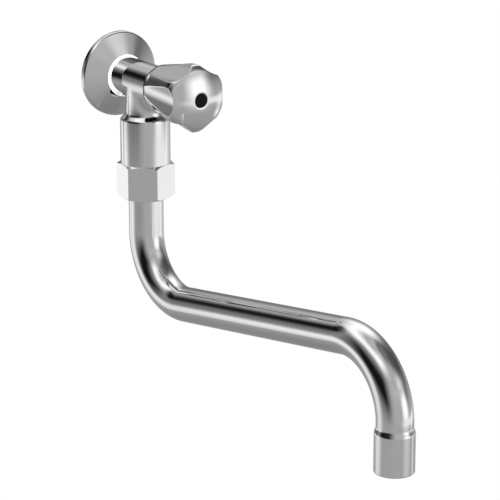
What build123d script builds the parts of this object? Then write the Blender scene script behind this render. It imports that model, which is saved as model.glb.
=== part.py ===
"""Commercial wall faucet: one cold or premixed inlet, a lobed turn handle and a long swivel spout.

Frame: the origin is the centre of the inlet at the wall, +Z is up, +X is to the right of
somebody who faces the tap, and the tap stands out of the wall along -Y. Millimetres.

Two half-plane sketches carry nearly everything that is turned:
  out_plane     x is the distance out of the wall, y is the height or radius on the body's axis
  swivel_plane  x is the distance out of the swivel axis, y is the height
"""

from build123d import *
import math
import os

os.makedirs("parts", exist_ok=True)

# ------------------------------------------------------------------ driving sizes: body
inlet_thread_dia = 20.95  # G 1/2 male thread over its crests
inlet_thread_length = 18.0
inlet_thread_chamfer = 1.2
inlet_bore_dia = 13.0
barrel_dia = 24.5
barrel_length = 54.0  # wall to the barrel's front face
swivel_out = 31.0  # wall to the spout's swivel axis
neck_dia = 24.3
neck_bore_dia = 13.0
shoulder_top = 19.2  # below the body's axis
shoulder_height = 4.4
collar_dia = 31.5
collar_length = 27.8
collar_edge = 0.5

# ------------------------------------------------------------------ driving sizes: rosette
rosette_dia = 54.0
rosette_rim = 3.3  # depth of the straight rim
rosette_rise = 9.7  # wall to the top of the cone
rosette_top_dia = 27.8  # where the cone meets the lip
rosette_lip = 1.3  # height of the lip over the cone
rosette_wall = 1.2
rosette_edge = 1.0  # rounding between rim and cone
rosette_lip_edge = 0.9
rosette_lip_taper = 0.325  # how far the lip leans in over its height
rosette_hub_wall = 0.6  # hub outside the cone's top
rosette_hub_depth = 6.2
rosette_clearance = 0.2
grip_ring_section = 1.5

# ------------------------------------------------------------------ driving sizes: valve
seat_out = 23.5  # wall to the seat's crown
seat_bore_dia = 11.0
seat_dia = 16.0
seat_length = 4.0
seat_crown = 1.0  # height and width of the seat's crown
chamber_dia = 18.0
washer_dia = 14.5
washer_thickness = 3.0
washer_cup_wall = 0.6
washer_cup_depth = 1.7
washer_cup_floor = 2.0
stem_across_flats = 10.0
stem_end_out = 47.5
stem_bore_depth = 15.0
washer_screw_dia = 3.0
washer_screw_head_dia = 5.6
washer_screw_head = 1.6
washer_screw_length = 7.5
washer_screw_slot = 0.75
washer_screw_slot_depth = 0.8
valve_lift = 4.5

# ------------------------------------------------------------------ driving sizes: headwork
bonnet_thread_dia = 19.2
bonnet_thread_length = 14.5
bonnet_guide_length = 2.5
bonnet_chamber_dia = 11.8
bonnet_hex = 21.0
bonnet_hex_height = 6.0
bonnet_neck_dia = 13.0
bonnet_neck_length = 7.0
bonnet_edge = 0.4
gasket_thickness = 1.0
spindle_dia = 8.0
spindle_thread_dia = 6.0
spindle_end_gap = 0.6  # spindle's end to the bottom of the carrier's bore, valve open
thrust_collar_dia = 9.8
thrust_collar_height = 2.0
spindle_ring_section = 1.2
circlip_dia = 11.2
circlip_thickness = 1.0
circlip_mouth = 3.7
thrust_gap = 2.0  # carrier's end, valve open, to the spindle's thrust collar
spline_teeth = 20
spline_depth = 0.5
spline_length = 10.0

# ------------------------------------------------------------------ driving sizes: handle
handle_overlap = 4.3  # how far the skirt reaches back over the barrel
handle_rear_dia = 28.8
handle_crest_along = 35.3  # rear edge to the widest point of the lobes
handle_nose = 7.7  # widest point to the middle of the dome
handle_crest_dia = 42.4
handle_shoulder = 4.2  # from the widest point in to the edge of the dome
handle_side_bulge = 0.25  # how far the side stands out of a straight cone
handle_dome_rise = 3.2
handle_lobes = 6
flute_rear_depth = 0.2
flute_crest_depth = 3.3
flute_radius = 26.0
flute_edge = 2.0
handle_mouth_dia = 26.6
handle_cavity_dia = 31.0
handle_cavity_floor = 5.5  # front wall behind the dome
handle_hub_dia = 17.0
handle_hub_gap = 1.0  # circlip to hub
insert_dia = 12.6
insert_length = 11.0
handle_screw_dia = 4.0
handle_screw_length = 11.0
handle_screw_head_dia = 7.6
handle_screw_head = 2.6
handle_screw_socket = 1.6  # depth of its hexagon socket
plug_dia = 8.8
plug_bore_edge = 0.5
plug_face = 1.6
plug_skirt = 3.0
plug_wall = 1.1
plug_bevel = 0.35

# ------------------------------------------------------------------ driving sizes: swivel
socket_floor = 22.0  # below the body's axis
socket_dia = 20.0
socket_depth = 12.0
union_thread_dia = 26.6
slide_ring_height = 1.2
slide_ring_lap = 0.3
tail_flange_dia = 25.8
tail_flange_height = 4.0
tail_bore_dia = 13.0
tail_spigot_length = 14.0
tail_ring_section = 1.8
tail_ring_down = 3.9  # top of the spigot to the middle of the first ring
tail_ring_pitch = 4.8
nut_across_flats = 32.0
nut_height = 22.5
nut_thread_length = 11.0
nut_chamfer_angle = 30.0
nut_washer_face = 31.2
nut_turn = 19.2  # where the hexagon came to rest when it was tightened

# ------------------------------------------------------------------ driving sizes: spout
tube_dia = 22.0
tube_wall = 1.5
spout_drop = 141.3  # body's axis down to the first corner of the centre line
spout_reach = 250.0  # swivel axis to the outlet's axis
arm_slope = 8.5  # degrees above level
lower_bend = 38.4
upper_bend = 40.2
outlet_dia = 24.0
outlet_run = 1.0  # straight tube between the bend and the flare
outlet_flare = 7.0
outlet_length = 21.2
flare_taper = 1.75  # straight ends of the flare, above and below its slope
flare_bend = 9.0
outlet_edge = 0.8
aerator_thread_dia = 21.8
aerator_depth = 16.0
aerator_wall = 1.9
aerator_lip = 0.8
aerator_lip_height = 1.6
aerator_recess = 0.8
aerator_gasket = 1.5
aerator_key_slots = 4
aerator_key_width = 2.4
aerator_key_depth = 1.2
jet_plate_thickness = 2.0
jet_hole_dia = 1.5
jet_ring_pitch = 2.9
jet_rings = 2
insert_cup_wall = 1.0
screen_thickness = 0.8
screen_slot = 1.6
screen_bar = 0.7

# ------------------------------------------------------------------ clearances
running = 0.08  # radial, one turning piece in another
free = 0.3  # radial, between bodies that don't guide each other
seated = 0.05  # radial, between pieces of one body
ring_gap = 0.05  # radial, a seal to the bore that it runs in

# ------------------------------------------------------------------ axes and planes
outlet_out = swivel_out + spout_reach
body_axis = Axis((0, 0, 0), (0, -1, 0))


def upright_plane(out):
    """The plane across the wall at that distance: x is away from there, out of the wall, y is up."""
    return Plane(origin=(0, -out, 0), x_dir=(0, -1, 0), z_dir=(-1, 0, 0))


def upright_axis(out):
    """The vertical axis at that distance from the wall."""
    return Axis((0, -out, 0), (0, 0, 1))


def wall_plane(out):
    """The plane parallel to the wall at that distance; x is right, y is up, normal out of the wall."""
    return Plane(origin=(0, -out, 0), x_dir=(1, 0, 0), z_dir=(0, -1, 0))


def level_plane(height, out=swivel_out):
    """The level plane at that height, centred on a vertical axis at that distance from the wall."""
    return Plane(origin=(0, -out, height), x_dir=(1, 0, 0), z_dir=(0, 0, 1))


out_plane = upright_plane(0)
swivel_plane = upright_plane(swivel_out)
swivel_axis = upright_axis(swivel_out)


# ------------------------------------------------------------------ turned shapes
def turn(plane, axis, *outline, mode=Mode.ADD):
    """Turn a closed outline about the axis, into the part that is being built."""
    with BuildSketch(plane) as profile:
        with BuildLine():
            Polyline(*outline, close=True)
        make_face()
    revolve(profile.sketch, axis=axis, mode=mode)


def turn_out(start, end, outer_dia, inner_dia=0.0, mode=Mode.ADD):
    """A ring or disc on the body's axis, from one distance out of the wall to another."""
    outer, inner = outer_dia / 2, inner_dia / 2
    corners = ((start, inner), (end, inner), (end, outer), (start, outer))
    turn(out_plane, body_axis, *corners, mode=mode)


def turn_up(low, high, outer_dia, inner_dia=0.0, out=swivel_out, mode=Mode.ADD):
    """A ring or disc on the vertical axis at that distance from the wall, between two heights."""
    outer, inner = outer_dia / 2, inner_dia / 2
    corners = ((inner, low), (outer, low), (outer, high), (inner, high))
    turn(upright_plane(out), upright_axis(out), *corners, mode=mode)


def seal_ring(plane, axis, centre, section):
    """A rubber ring about the axis; its round section is squeezed to six flats."""
    with BuildSketch(plane) as profile:
        with Locations(centre):
            RegularPolygon(section / 2, 6)
    revolve(profile.sketch, axis=axis)


def spline_corners(tip_radius):
    """The corners of a toothed outline with straight flanks, one tooth upright."""
    step = math.pi / spline_teeth
    corners = []
    for index in range(2 * spline_teeth):
        radius = tip_radius - spline_depth * (index % 2)
        corners.append((radius * math.sin(index * step), radius * math.cos(index * step)))
    return corners


# ------------------------------------------------------------------ worked-out places
barrel_r = barrel_dia / 2
handle_rear_out = barrel_length - handle_overlap
handle_crest_out = handle_rear_out + handle_crest_along
handle_front_out = handle_crest_out + handle_nose
handle_length = handle_front_out - handle_rear_out
flute_rear_r = handle_rear_dia / 2 - flute_rear_depth
flute_crest_r = handle_crest_dia / 2 - flute_crest_depth
chamber_floor = seat_out - seat_crown
bonnet_rear = barrel_length - bonnet_thread_length
hex_rear = barrel_length + gasket_thickness
hex_front = hex_rear + bonnet_hex_height
neck_front = hex_front + bonnet_neck_length
washer_front = seat_out + washer_thickness
cup_front = washer_front + washer_cup_floor
thrust_rear = stem_end_out + valve_lift + thrust_gap
thrust_front = thrust_rear + thrust_collar_height
spindle_rear = stem_end_out - stem_bore_depth + valve_lift + spindle_end_gap
circlip_front = neck_front + ring_gap + circlip_thickness
hub_rear = circlip_front + handle_hub_gap
spline_rear = hub_rear
spline_front = spline_rear + spline_length
insert_front = hub_rear + insert_length
shoulder_low = shoulder_top + shoulder_height
collar_low = shoulder_low + collar_length
socket_low = socket_floor + socket_depth
flange_top = socket_low + slide_ring_height
flange_low = flange_top + tail_flange_height
nut_thread_top = collar_low - nut_thread_length
nut_low = collar_low + nut_height
tube_bore_dia = tube_dia - 2 * tube_wall
tube_top = flange_low
upper_corner = spout_drop - spout_reach * math.tan(math.radians(arm_slope))
bend_reach = math.tan(math.radians(90 + arm_slope) / 2)
flare_top = upper_corner + upper_bend * bend_reach + outlet_run
sleeve_top = flare_top + outlet_flare
outlet_low = sleeve_top + outlet_length
aerator_top = outlet_low - aerator_depth
housing_top = aerator_top + aerator_gasket
housing_low = outlet_low - aerator_recess

# ================================================================== body
with BuildPart() as tap_body:
    turn_out(0, barrel_length, barrel_dia)
    tail_r = inlet_thread_dia / 2
    turn(
        out_plane,
        body_axis,
        (0, 0),
        (0, tail_r),
        (inlet_thread_chamfer - inlet_thread_length, tail_r),
        (-inlet_thread_length, tail_r - inlet_thread_chamfer),
        (-inlet_thread_length, 0),
    )
    with BuildSketch(swivel_plane) as neck_outline:
        with BuildLine():
            Polyline(
                (0, 0),
                (neck_dia / 2, 0),
                (neck_dia / 2, -shoulder_top),
                (collar_dia / 2, -shoulder_low),
                (collar_dia / 2, -collar_low),
                (0, -collar_low),
                close=True,
            )
        make_face()
        lowest_corners = neck_outline.vertices().group_by(Axis.Z)[0]
        chamfer(lowest_corners.sort_by(Axis.Y)[0], collar_edge)
    revolve(axis=swivel_axis)
    # waterway: inlet, seat pocket, valve chamber and headwork thread, then down into the socket
    turn_out(-inlet_thread_length, barrel_length, inlet_bore_dia, mode=Mode.SUBTRACT)
    turn_out(chamber_floor - seat_length, barrel_length, seat_dia, mode=Mode.SUBTRACT)
    turn_out(chamber_floor, barrel_length, chamber_dia, mode=Mode.SUBTRACT)
    turn_out(bonnet_rear - gasket_thickness, barrel_length, bonnet_thread_dia, mode=Mode.SUBTRACT)
    turn_up(-socket_floor, 0, neck_bore_dia, mode=Mode.SUBTRACT)
    turn_up(-socket_low, -socket_floor, socket_dia, mode=Mode.SUBTRACT)
    turn_up(-collar_low, -socket_low, union_thread_dia, mode=Mode.SUBTRACT)

# ================================================================== wall rosette
cone_slope = (rosette_rise - rosette_rim) / (rosette_dia - rosette_top_dia) * 2  # along per radius
cone_wall = rosette_wall * math.hypot(1, cone_slope)
rosette_hub_r = rosette_top_dia / 2 + rosette_hub_wall
rosette_bore_r = barrel_r + rosette_clearance
lip_front = rosette_rise + rosette_lip
hub_back = lip_front - rosette_hub_depth


def inner_cone(radius):
    """How far out of the wall the inner face of the cone lies at that radius."""
    return rosette_rim - cone_wall + (rosette_dia / 2 - radius) * cone_slope


rim_bore_r = rosette_dia / 2 - rosette_wall
with BuildPart() as wall_rosette:
    with BuildSketch(out_plane):
        with BuildLine():
            FilletPolyline(
                (0, rim_bore_r),
                (0, rosette_dia / 2),
                (rosette_rim, rosette_dia / 2),
                (rosette_rise, rosette_top_dia / 2),
                (lip_front, rosette_top_dia / 2 - rosette_lip_taper),
                (lip_front, rosette_bore_r),
                (hub_back, rosette_bore_r),
                (hub_back, rosette_hub_r),
                (inner_cone(rosette_hub_r), rosette_hub_r),
                (inner_cone(rim_bore_r), rim_bore_r),
                radius=[0, 0, rosette_edge, 0, rosette_lip_edge, 0, 0, 0, 0, 0],
                close=True,
            )
        make_face()
    revolve(axis=body_axis)
    groove_mid = hub_back + rosette_hub_depth / 2
    groove_half = grip_ring_section / 2 + seated
    turn_out(
        groove_mid - groove_half,
        groove_mid + groove_half,
        barrel_dia + 2 * grip_ring_section + 2 * seated,
        barrel_dia,
        mode=Mode.SUBTRACT,
    )

with BuildPart() as rosette_grip_ring:
    seal_ring(out_plane, body_axis, (groove_mid, barrel_r + grip_ring_section / 2), grip_ring_section)

# ================================================================== valve seat
with BuildPart() as valve_seat:
    turn(
        out_plane,
        body_axis,
        (chamber_floor - seat_length, seat_bore_dia / 2),
        (seat_out, seat_bore_dia / 2),
        (seat_out, seat_bore_dia / 2 + seat_crown),
        (chamber_floor, seat_bore_dia / 2 + 2 * seat_crown),
        (chamber_floor, seat_dia / 2 - seated),
        (chamber_floor - seat_length, seat_dia / 2 - seated),
    )

# ================================================================== valve carrier, washer and screw
cup_dia = washer_dia + 2 * washer_cup_wall + 2 * seated
with BuildPart() as valve_carrier:
    turn_out(washer_front - washer_cup_depth, cup_front, cup_dia)
    turn_out(
        washer_front - washer_cup_depth,
        washer_front,
        washer_dia + 2 * seated,
        mode=Mode.SUBTRACT,
    )
    with BuildSketch(wall_plane(cup_front)):
        RegularPolygon(stem_across_flats / 2, 6, major_radius=False)
    extrude(amount=stem_end_out - cup_front)
    turn_out(
        stem_end_out - stem_bore_depth,
        stem_end_out,
        spindle_thread_dia,
        mode=Mode.SUBTRACT,
    )
    turn_out(
        washer_front,
        seat_out + washer_screw_length,
        washer_screw_dia + 2 * seated,
        mode=Mode.SUBTRACT,
    )

with BuildPart() as seat_washer:
    turn_out(
        seat_out + ring_gap,
        washer_front,
        washer_dia,
        washer_screw_dia + 2 * seated,
    )

with BuildPart() as washer_screw:
    head_rear = seat_out + ring_gap - washer_screw_head
    turn_out(head_rear, seat_out + ring_gap, washer_screw_head_dia)
    turn_out(seat_out + ring_gap, seat_out + washer_screw_length, washer_screw_dia)
    with BuildSketch(wall_plane(head_rear)):
        Rectangle(washer_screw_head_dia, washer_screw_slot)
    extrude(amount=washer_screw_slot_depth, mode=Mode.SUBTRACT)

# ================================================================== headwork
with BuildPart() as headwork_bonnet:
    turn_out(bonnet_rear, hex_rear, bonnet_thread_dia - 2 * seated)
    with BuildSketch(wall_plane(hex_rear)):
        RegularPolygon(bonnet_hex / 2, 6, major_radius=False)
    extrude(amount=bonnet_hex_height)
    turn_out(hex_front, neck_front, bonnet_neck_dia)
    chamfer(headwork_bonnet.edges().group_by(Axis.Y)[0], bonnet_edge)
    with BuildSketch(wall_plane(bonnet_rear)):
        RegularPolygon(stem_across_flats / 2 + running, 6, major_radius=False)
    extrude(amount=bonnet_guide_length, mode=Mode.SUBTRACT)
    turn_out(
        bonnet_rear + bonnet_guide_length,
        thrust_front,
        bonnet_chamber_dia,
        mode=Mode.SUBTRACT,
    )
    turn_out(thrust_front, neck_front, spindle_dia + 2 * running, mode=Mode.SUBTRACT)

with BuildPart() as bonnet_gasket:
    turn_out(barrel_length, hex_rear, bonnet_hex, bonnet_thread_dia + 2 * seated)

ring_run = neck_front - thrust_front
ring_places = [thrust_front + ring_run / 3, thrust_front + 2 * ring_run / 3]
groove_dia = spindle_dia - 2 * spindle_ring_section
with BuildPart() as spindle:
    turn_out(spindle_rear, thrust_rear, spindle_thread_dia - 2 * running)
    turn_out(thrust_rear, thrust_front, thrust_collar_dia)
    turn_out(thrust_front, spline_rear, spindle_dia)
    with BuildSketch(wall_plane(spline_rear)):
        with BuildLine():
            Polyline(*spline_corners(spindle_dia / 2), close=True)
        make_face()
    extrude(amount=spline_length)
    for place in ring_places:
        turn_out(
            place - spindle_ring_section / 2 - seated,
            place + spindle_ring_section / 2 + seated,
            spindle_dia + 2 * running,
            groove_dia,
            mode=Mode.SUBTRACT,
        )
    turn_out(
        neck_front,
        circlip_front,
        spindle_dia + 2 * running,
        groove_dia,
        mode=Mode.SUBTRACT,
    )
    turn_out(
        insert_front - handle_screw_length,
        spline_front,
        handle_screw_dia + 2 * seated,
        mode=Mode.SUBTRACT,
    )

with BuildPart() as spindle_o_rings:
    for place in ring_places:
        ring_r = spindle_dia / 2 + running - ring_gap - spindle_ring_section / 2
        seal_ring(out_plane, body_axis, (place, ring_r), spindle_ring_section)

with BuildPart() as spindle_circlip:
    turn_out(
        neck_front + ring_gap,
        circlip_front,
        circlip_dia,
        groove_dia + 2 * seated,
    )
    with BuildSketch(wall_plane(neck_front)):
        with Locations((0, -circlip_dia / 2)):
            Rectangle(circlip_mouth, circlip_dia)
    extrude(amount=circlip_front - neck_front, mode=Mode.SUBTRACT)

# ================================================================== handle
side_mid_r = (handle_rear_dia + handle_crest_dia) / 4 + handle_side_bulge
side_mid = (handle_rear_out + handle_crest_along / 2, side_mid_r)
rear_edge = (handle_rear_out, handle_rear_dia / 2)
crest_edge = (handle_crest_out, handle_crest_dia / 2)
front_centre = (handle_front_out, 0)
side_slope = (handle_crest_dia - handle_rear_dia) / 2 / handle_crest_along
rear_slope = side_slope + 4 * handle_side_bulge / handle_crest_along
dome_r = handle_crest_dia / 2 - handle_shoulder
dome_edge = (handle_front_out - handle_dome_rise, dome_r)
dome_lean = 2 * math.atan2(handle_dome_rise, dome_r)
dome_tangent = (math.sin(dome_lean), -math.cos(dome_lean))
side_tangents = [(1, rear_slope), (1, side_slope), (1, 0), dome_tangent, (0, -1)]
flute_tilt = math.atan2(flute_crest_r - flute_rear_r, handle_crest_along)
cavity_end = handle_front_out - handle_cavity_floor


def flute_plane(index):
    """The plane across one flute's cutter, well behind the handle, and square to the flute."""
    angle = math.radians((index + 0.5) * 360 / handle_lobes)
    radial = Vector(math.sin(angle), 0, math.cos(angle))
    outward = Vector(0, -1, 0)
    along = outward * math.cos(flute_tilt) + radial * math.sin(flute_tilt)
    lift = radial * math.cos(flute_tilt) - outward * math.sin(flute_tilt)
    rear = outward * handle_rear_out + radial * flute_rear_r
    centre = rear + lift * flute_radius - along * handle_length
    return Plane(origin=centre, x_dir=lift, z_dir=along)


with BuildPart() as handle:
    with BuildSketch(out_plane):
        with BuildLine():
            Spline(rear_edge, side_mid, crest_edge, dome_edge, front_centre, tangents=side_tangents)
            Polyline(front_centre, (handle_rear_out, 0), rear_edge)
        make_face()
    revolve(axis=body_axis)
    # round-bottomed flutes, tilted so that they widen towards the front and run out in the dome
    for index in range(handle_lobes):
        with BuildSketch(flute_plane(index)):
            Circle(flute_radius)
        extrude(amount=3 * handle_length, mode=Mode.SUBTRACT)
    flute_edges = handle.faces().filter_by(GeomType.CYLINDER).edges().filter_by(GeomType.BSPLINE)
    fillet(flute_edges, flute_edge)
    # hollow skirt over the headwork, around the hub that holds the splined insert
    turn(
        out_plane,
        body_axis,
        (handle_rear_out, 0),
        (handle_rear_out, handle_mouth_dia / 2),
        (cavity_end, handle_cavity_dia / 2),
        (cavity_end, handle_hub_dia / 2),
        (hub_rear, handle_hub_dia / 2),
        (hub_rear, 0),
        mode=Mode.SUBTRACT,
    )
    turn_out(hub_rear, insert_front, insert_dia + 2 * seated, mode=Mode.SUBTRACT)
    turn_out(insert_front, handle_front_out, plug_dia + 2 * seated, mode=Mode.SUBTRACT)
    bore_mouth = handle.edges().filter_by(GeomType.CIRCLE).group_by(Axis.Y)[0]
    chamfer(bore_mouth, plug_bore_edge)

with BuildPart() as handle_insert:
    turn_out(hub_rear, insert_front, insert_dia)
    with BuildSketch(wall_plane(hub_rear)):
        with BuildLine():
            Polyline(*spline_corners(spindle_dia / 2 + seated), close=True)
        make_face()
    extrude(amount=spline_length, mode=Mode.SUBTRACT)
    turn_out(hub_rear, insert_front, handle_screw_dia + 2 * seated, mode=Mode.SUBTRACT)

with BuildPart() as handle_screw:
    screw_front = insert_front + handle_screw_head
    turn_out(insert_front - handle_screw_length, insert_front, handle_screw_dia)
    turn_out(insert_front, screw_front, handle_screw_head_dia)
    with BuildSketch(wall_plane(screw_front)):
        RegularPolygon(handle_screw_dia / 2, 6)
    extrude(amount=-handle_screw_socket, mode=Mode.SUBTRACT)

with BuildPart() as index_plug:
    turn(
        out_plane,
        body_axis,
        (handle_front_out - plug_face - plug_skirt, plug_dia / 2 - plug_wall),
        (handle_front_out - plug_face - plug_skirt, plug_dia / 2),
        (handle_front_out - plug_bevel, plug_dia / 2),
        (handle_front_out, plug_dia / 2 - plug_bevel),
        (handle_front_out, 0),
        (handle_front_out - plug_face, 0),
        (handle_front_out - plug_face, plug_dia / 2 - plug_wall),
    )

# ================================================================== swivel joint under the body
slide_bore_r = tube_dia / 2 + free
slide_rim_r = union_thread_dia / 2 - slide_ring_lap
with BuildPart() as upper_slide_ring:
    turn_up(-flange_top, -socket_low, 2 * slide_rim_r, socket_dia + 2 * slide_ring_lap)

with BuildPart() as lower_slide_ring:
    turn_up(-flange_low - slide_ring_height, -flange_low, 2 * slide_rim_r, 2 * slide_bore_r)

spigot_top = flange_top - tail_spigot_length + slide_ring_height
spigot_r = socket_dia / 2 - running
first_ring = spigot_top + tail_ring_down
tail_ring_places = [first_ring, first_ring + tail_ring_pitch]
tail_ring_r = socket_dia / 2 - ring_gap - tail_ring_section / 2
with BuildPart() as spout_tail:
    turn_up(-flange_top, -spigot_top, 2 * spigot_r)
    turn_up(-flange_low, -flange_top, tail_flange_dia)
    turn_up(-flange_low - tail_spigot_length, -flange_low, tube_bore_dia - 2 * seated)
    turn_up(-flange_low - tail_spigot_length, -spigot_top, tail_bore_dia, mode=Mode.SUBTRACT)
    for place in tail_ring_places:
        turn_up(
            -place - tail_ring_section / 2 - seated,
            -place + tail_ring_section / 2 + seated,
            socket_dia,
            2 * tail_ring_r - tail_ring_section,
            mode=Mode.SUBTRACT,
        )

with BuildPart() as spout_o_rings:
    for place in tail_ring_places:
        seal_ring(swivel_plane, swivel_axis, (tail_ring_r, -place), tail_ring_section)

chamfer_drop = (nut_across_flats / math.cos(math.radians(30)) - nut_washer_face) / 2
chamfer_height = chamfer_drop * math.tan(math.radians(nut_chamfer_angle))
nut_thread_r = union_thread_dia / 2 - seated
corner_r = nut_across_flats / 2 / math.cos(math.radians(30))
with BuildPart() as union_nut:
    with BuildSketch(level_plane(-nut_low)):
        RegularPolygon(nut_across_flats / 2, 6, major_radius=False, rotation=nut_turn)
    extrude(amount=nut_height)
    turn(
        swivel_plane,
        swivel_axis,
        (0, -nut_low),
        (nut_washer_face / 2, -nut_low),
        (corner_r, -nut_low + chamfer_height),
        (corner_r, -collar_low - chamfer_height),
        (nut_washer_face / 2, -collar_low),
        (0, -collar_low),
        mode=Mode.INTERSECT,
    )
    turn_up(-collar_low, -flange_low - slide_ring_height, 2 * nut_thread_r)
    turn_up(-nut_low, -flange_low - slide_ring_height, 2 * slide_bore_r, mode=Mode.SUBTRACT)

# ================================================================== spout tube
tube_r = tube_dia / 2
tube_bore_r = tube_bore_dia / 2
sleeve_r = outlet_dia / 2
thread_r = aerator_thread_dia / 2
with BuildPart() as spout_tube:
    with BuildLine(swivel_plane) as centre_line:
        FilletPolyline(
            (0, -tube_top),
            (0, -spout_drop),
            (spout_reach, -upper_corner),
            (spout_reach, -flare_top),
            radius=[lower_bend, upper_bend],
        )
    with BuildSketch(level_plane(-tube_top)):
        Circle(tube_r)
        Circle(tube_bore_r, mode=Mode.SUBTRACT)
    sweep(path=centre_line.line)
    # the drawn-out end: a smooth flare into a straight sleeve, threaded inside for the aerator
    with BuildSketch(upright_plane(outlet_out)):
        with BuildLine():
            FilletPolyline(
                (tube_bore_r, -flare_top),
                (tube_r, -flare_top),
                (tube_r, -flare_top - flare_taper),
                (sleeve_r, -sleeve_top + flare_taper),
                (sleeve_r, -outlet_low),
                (thread_r, -outlet_low),
                (thread_r, -aerator_top),
                (tube_bore_r, -aerator_top),
                radius=[0, 0, flare_bend, flare_bend, outlet_edge, 0, 0, 0],
                close=True,
            )
        make_face()
    revolve(axis=upright_axis(outlet_out))

# ================================================================== aerator
housing_r = thread_r - seated
housing_bore_r = housing_r - aerator_wall
screen_top = housing_low - aerator_lip_height - screen_thickness
insert_r = housing_bore_r - seated
jet_plate_low = housing_top + jet_plate_thickness
with BuildPart() as aerator_gasket:
    turn_up(-housing_top, -aerator_top, 2 * housing_r, 2 * housing_bore_r, outlet_out)

with BuildPart() as aerator_housing:
    turn_up(-housing_low, -housing_top, 2 * housing_r, 2 * housing_bore_r, outlet_out)
    turn_up(
        -housing_low,
        -housing_low + aerator_lip_height,
        2 * housing_bore_r,
        2 * (housing_bore_r - aerator_lip),
        outlet_out,
    )
    with BuildSketch(level_plane(-housing_low, outlet_out)):
        with PolarLocations(housing_r, aerator_key_slots):
            Rectangle(2 * aerator_wall, aerator_key_width)
    extrude(amount=aerator_key_depth, mode=Mode.SUBTRACT)

with BuildPart() as jet_insert:
    turn_up(-screen_top, -housing_top, 2 * insert_r, 2 * (insert_r - insert_cup_wall), outlet_out)
    with BuildSketch(level_plane(-jet_plate_low, outlet_out)):
        Circle(insert_r - insert_cup_wall)
        Circle(jet_hole_dia / 2, mode=Mode.SUBTRACT)
        for ring in range(1, jet_rings + 1):
            with PolarLocations(ring * jet_ring_pitch, 6 * ring):
                RegularPolygon(jet_hole_dia / 2, 6, mode=Mode.SUBTRACT)
    extrude(amount=jet_plate_thickness)

screen_pitch = screen_slot + screen_bar
screen_cells = math.ceil(2 * insert_r / screen_pitch)
with BuildPart() as outlet_screen:
    with BuildSketch(level_plane(-screen_top - screen_thickness, outlet_out)):
        Circle(insert_r)
        for cell in GridLocations(screen_pitch, screen_pitch, screen_cells, screen_cells).local_locations:
            if cell.position.length < insert_r - screen_pitch:
                with Locations(cell.position):
                    Rectangle(screen_slot, screen_slot, mode=Mode.SUBTRACT)
    extrude(amount=screen_thickness)

# ================================================================== files
pieces = {
    "tap_body": tap_body,
    "wall_rosette": wall_rosette,
    "rosette_grip_ring": rosette_grip_ring,
    "valve_seat": valve_seat,
    "valve_carrier": valve_carrier,
    "seat_washer": seat_washer,
    "washer_screw": washer_screw,
    "headwork_bonnet": headwork_bonnet,
    "bonnet_gasket": bonnet_gasket,
    "spindle": spindle,
    "spindle_o_rings": spindle_o_rings,
    "spindle_circlip": spindle_circlip,
    "handle": handle,
    "handle_insert": handle_insert,
    "handle_screw": handle_screw,
    "index_plug": index_plug,
    "upper_slide_ring": upper_slide_ring,
    "lower_slide_ring": lower_slide_ring,
    "spout_tail": spout_tail,
    "spout_o_rings": spout_o_rings,
    "union_nut": union_nut,
    "spout_tube": spout_tube,
    "aerator_gasket": aerator_gasket,
    "aerator_housing": aerator_housing,
    "jet_insert": jet_insert,
    "outlet_screen": outlet_screen,
}
for name, piece in pieces.items():
    piece.part.label = name
    export_step(piece.part, f"parts/{name}.step")
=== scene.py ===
"""Looks of a commercial wall faucet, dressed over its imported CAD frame. Metres, same frame as the CAD."""

import math

import bmesh
import bpy
from bpy.props import FloatProperty, FloatVectorProperty, IntProperty, PointerProperty
from mathutils import Matrix, Vector


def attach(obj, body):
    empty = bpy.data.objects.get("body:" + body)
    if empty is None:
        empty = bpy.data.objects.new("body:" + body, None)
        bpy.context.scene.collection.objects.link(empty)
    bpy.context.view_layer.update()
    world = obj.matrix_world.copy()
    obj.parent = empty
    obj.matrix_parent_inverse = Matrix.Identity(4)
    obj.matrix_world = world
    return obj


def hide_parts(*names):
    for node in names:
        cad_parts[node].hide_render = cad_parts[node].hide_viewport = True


bl_info = {
    "name": "Wall faucet looks",
    "version": (1, 0, 0),
    "blender": (4, 5, 0),
    "location": "View3D > Sidebar > Wall faucet",
    "description": "Chrome, brass, seals, inlet thread and studio for a wall faucet",
    "category": "Object",
}

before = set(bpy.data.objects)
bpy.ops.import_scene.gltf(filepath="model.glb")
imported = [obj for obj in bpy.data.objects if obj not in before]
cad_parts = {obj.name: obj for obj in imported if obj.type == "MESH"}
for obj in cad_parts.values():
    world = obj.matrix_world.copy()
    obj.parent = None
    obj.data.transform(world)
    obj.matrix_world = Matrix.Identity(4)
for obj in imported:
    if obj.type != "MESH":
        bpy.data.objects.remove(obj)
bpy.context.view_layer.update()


# ---------------------------------------------------------------- shader maths
class Wire:
    """A shader socket that can be used in a Python expression; each operation adds a Math node."""

    def __init__(self, recipe, socket):
        self.recipe = recipe
        self.socket = socket

    def maths(self, operation, *values):
        return self.recipe.node("ShaderNodeMath", {"operation": operation}, dict(enumerate(values)))

    def __add__(self, other):
        return self.maths("ADD", self, other)

    def __radd__(self, other):
        return self.maths("ADD", other, self)

    def __sub__(self, other):
        return self.maths("SUBTRACT", self, other)

    def __rsub__(self, other):
        return self.maths("SUBTRACT", other, self)

    def __mul__(self, other):
        return self.maths("MULTIPLY", self, other)

    def __rmul__(self, other):
        return self.maths("MULTIPLY", other, self)

    def __abs__(self):
        return self.maths("ABSOLUTE", self)


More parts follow.
